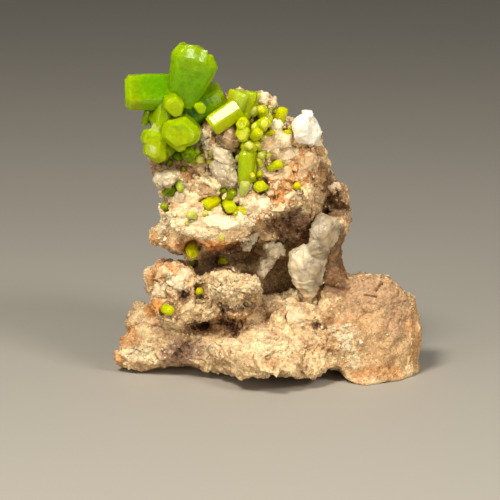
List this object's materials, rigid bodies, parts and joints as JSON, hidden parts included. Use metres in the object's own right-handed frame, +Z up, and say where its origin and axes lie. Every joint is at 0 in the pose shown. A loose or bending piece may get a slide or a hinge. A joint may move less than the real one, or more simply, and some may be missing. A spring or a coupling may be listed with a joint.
{
  "type": "pyromorphite mineral specimen",
  "caption": "Green hexagonal pyromorphite barrels grown on a rugged, narrow-waisted piece of pale quartz-rich matrix that stands on its wide base.",
  "frame": {"origin": "centre of the bounding box in X and Y, on the surface that the specimen stands on", "axes": "+Z up, -Y towards the side that shows the crystals, +X towards the broad lobe"},
  "size_m": [0.0455, 0.0291, 0.0486],
  "materials": {
    "matrix": "rough, granular, iron-stained",
    "quartz": "milky, glassy on broken faces",
    "pyromorphite": "translucent, resinous to waxy lustre"
  },
  "bodies": {
    "root": {"matrix_rock": "matrix", "quartz_slab": "quartz", "quartz_block_upper_right": "quartz", "quartz_block_left": "quartz", "quartz_block_middle": "quartz", "quartz_block_upper": "quartz", "quartz_shard": "quartz", "quartz_lump": "quartz", "pyromorphite_main_cluster": "pyromorphite", "pyromorphite_blade_group": "pyromorphite", "pyromorphite_column": "pyromorphite", "pyromorphite_hollow_group": "pyromorphite", "pyromorphite_bud": "pyromorphite", "pyromorphite_oval": "pyromorphite", "pyromorphite_speck_upper": "pyromorphite", "pyromorphite_lying": "pyromorphite", "pyromorphite_speck_right": "pyromorphite", "pyromorphite_below_block": "pyromorphite", "pyromorphite_left_edge": "pyromorphite", "pyromorphite_recess_upper": "pyromorphite", "pyromorphite_recess_lower": "pyromorphite", "pyromorphite_on_sponge": "pyromorphite", "pyromorphite_speck_lower": "pyromorphite", "pyromorphite_tray": "pyromorphite"}
  },
  "joints": []
}
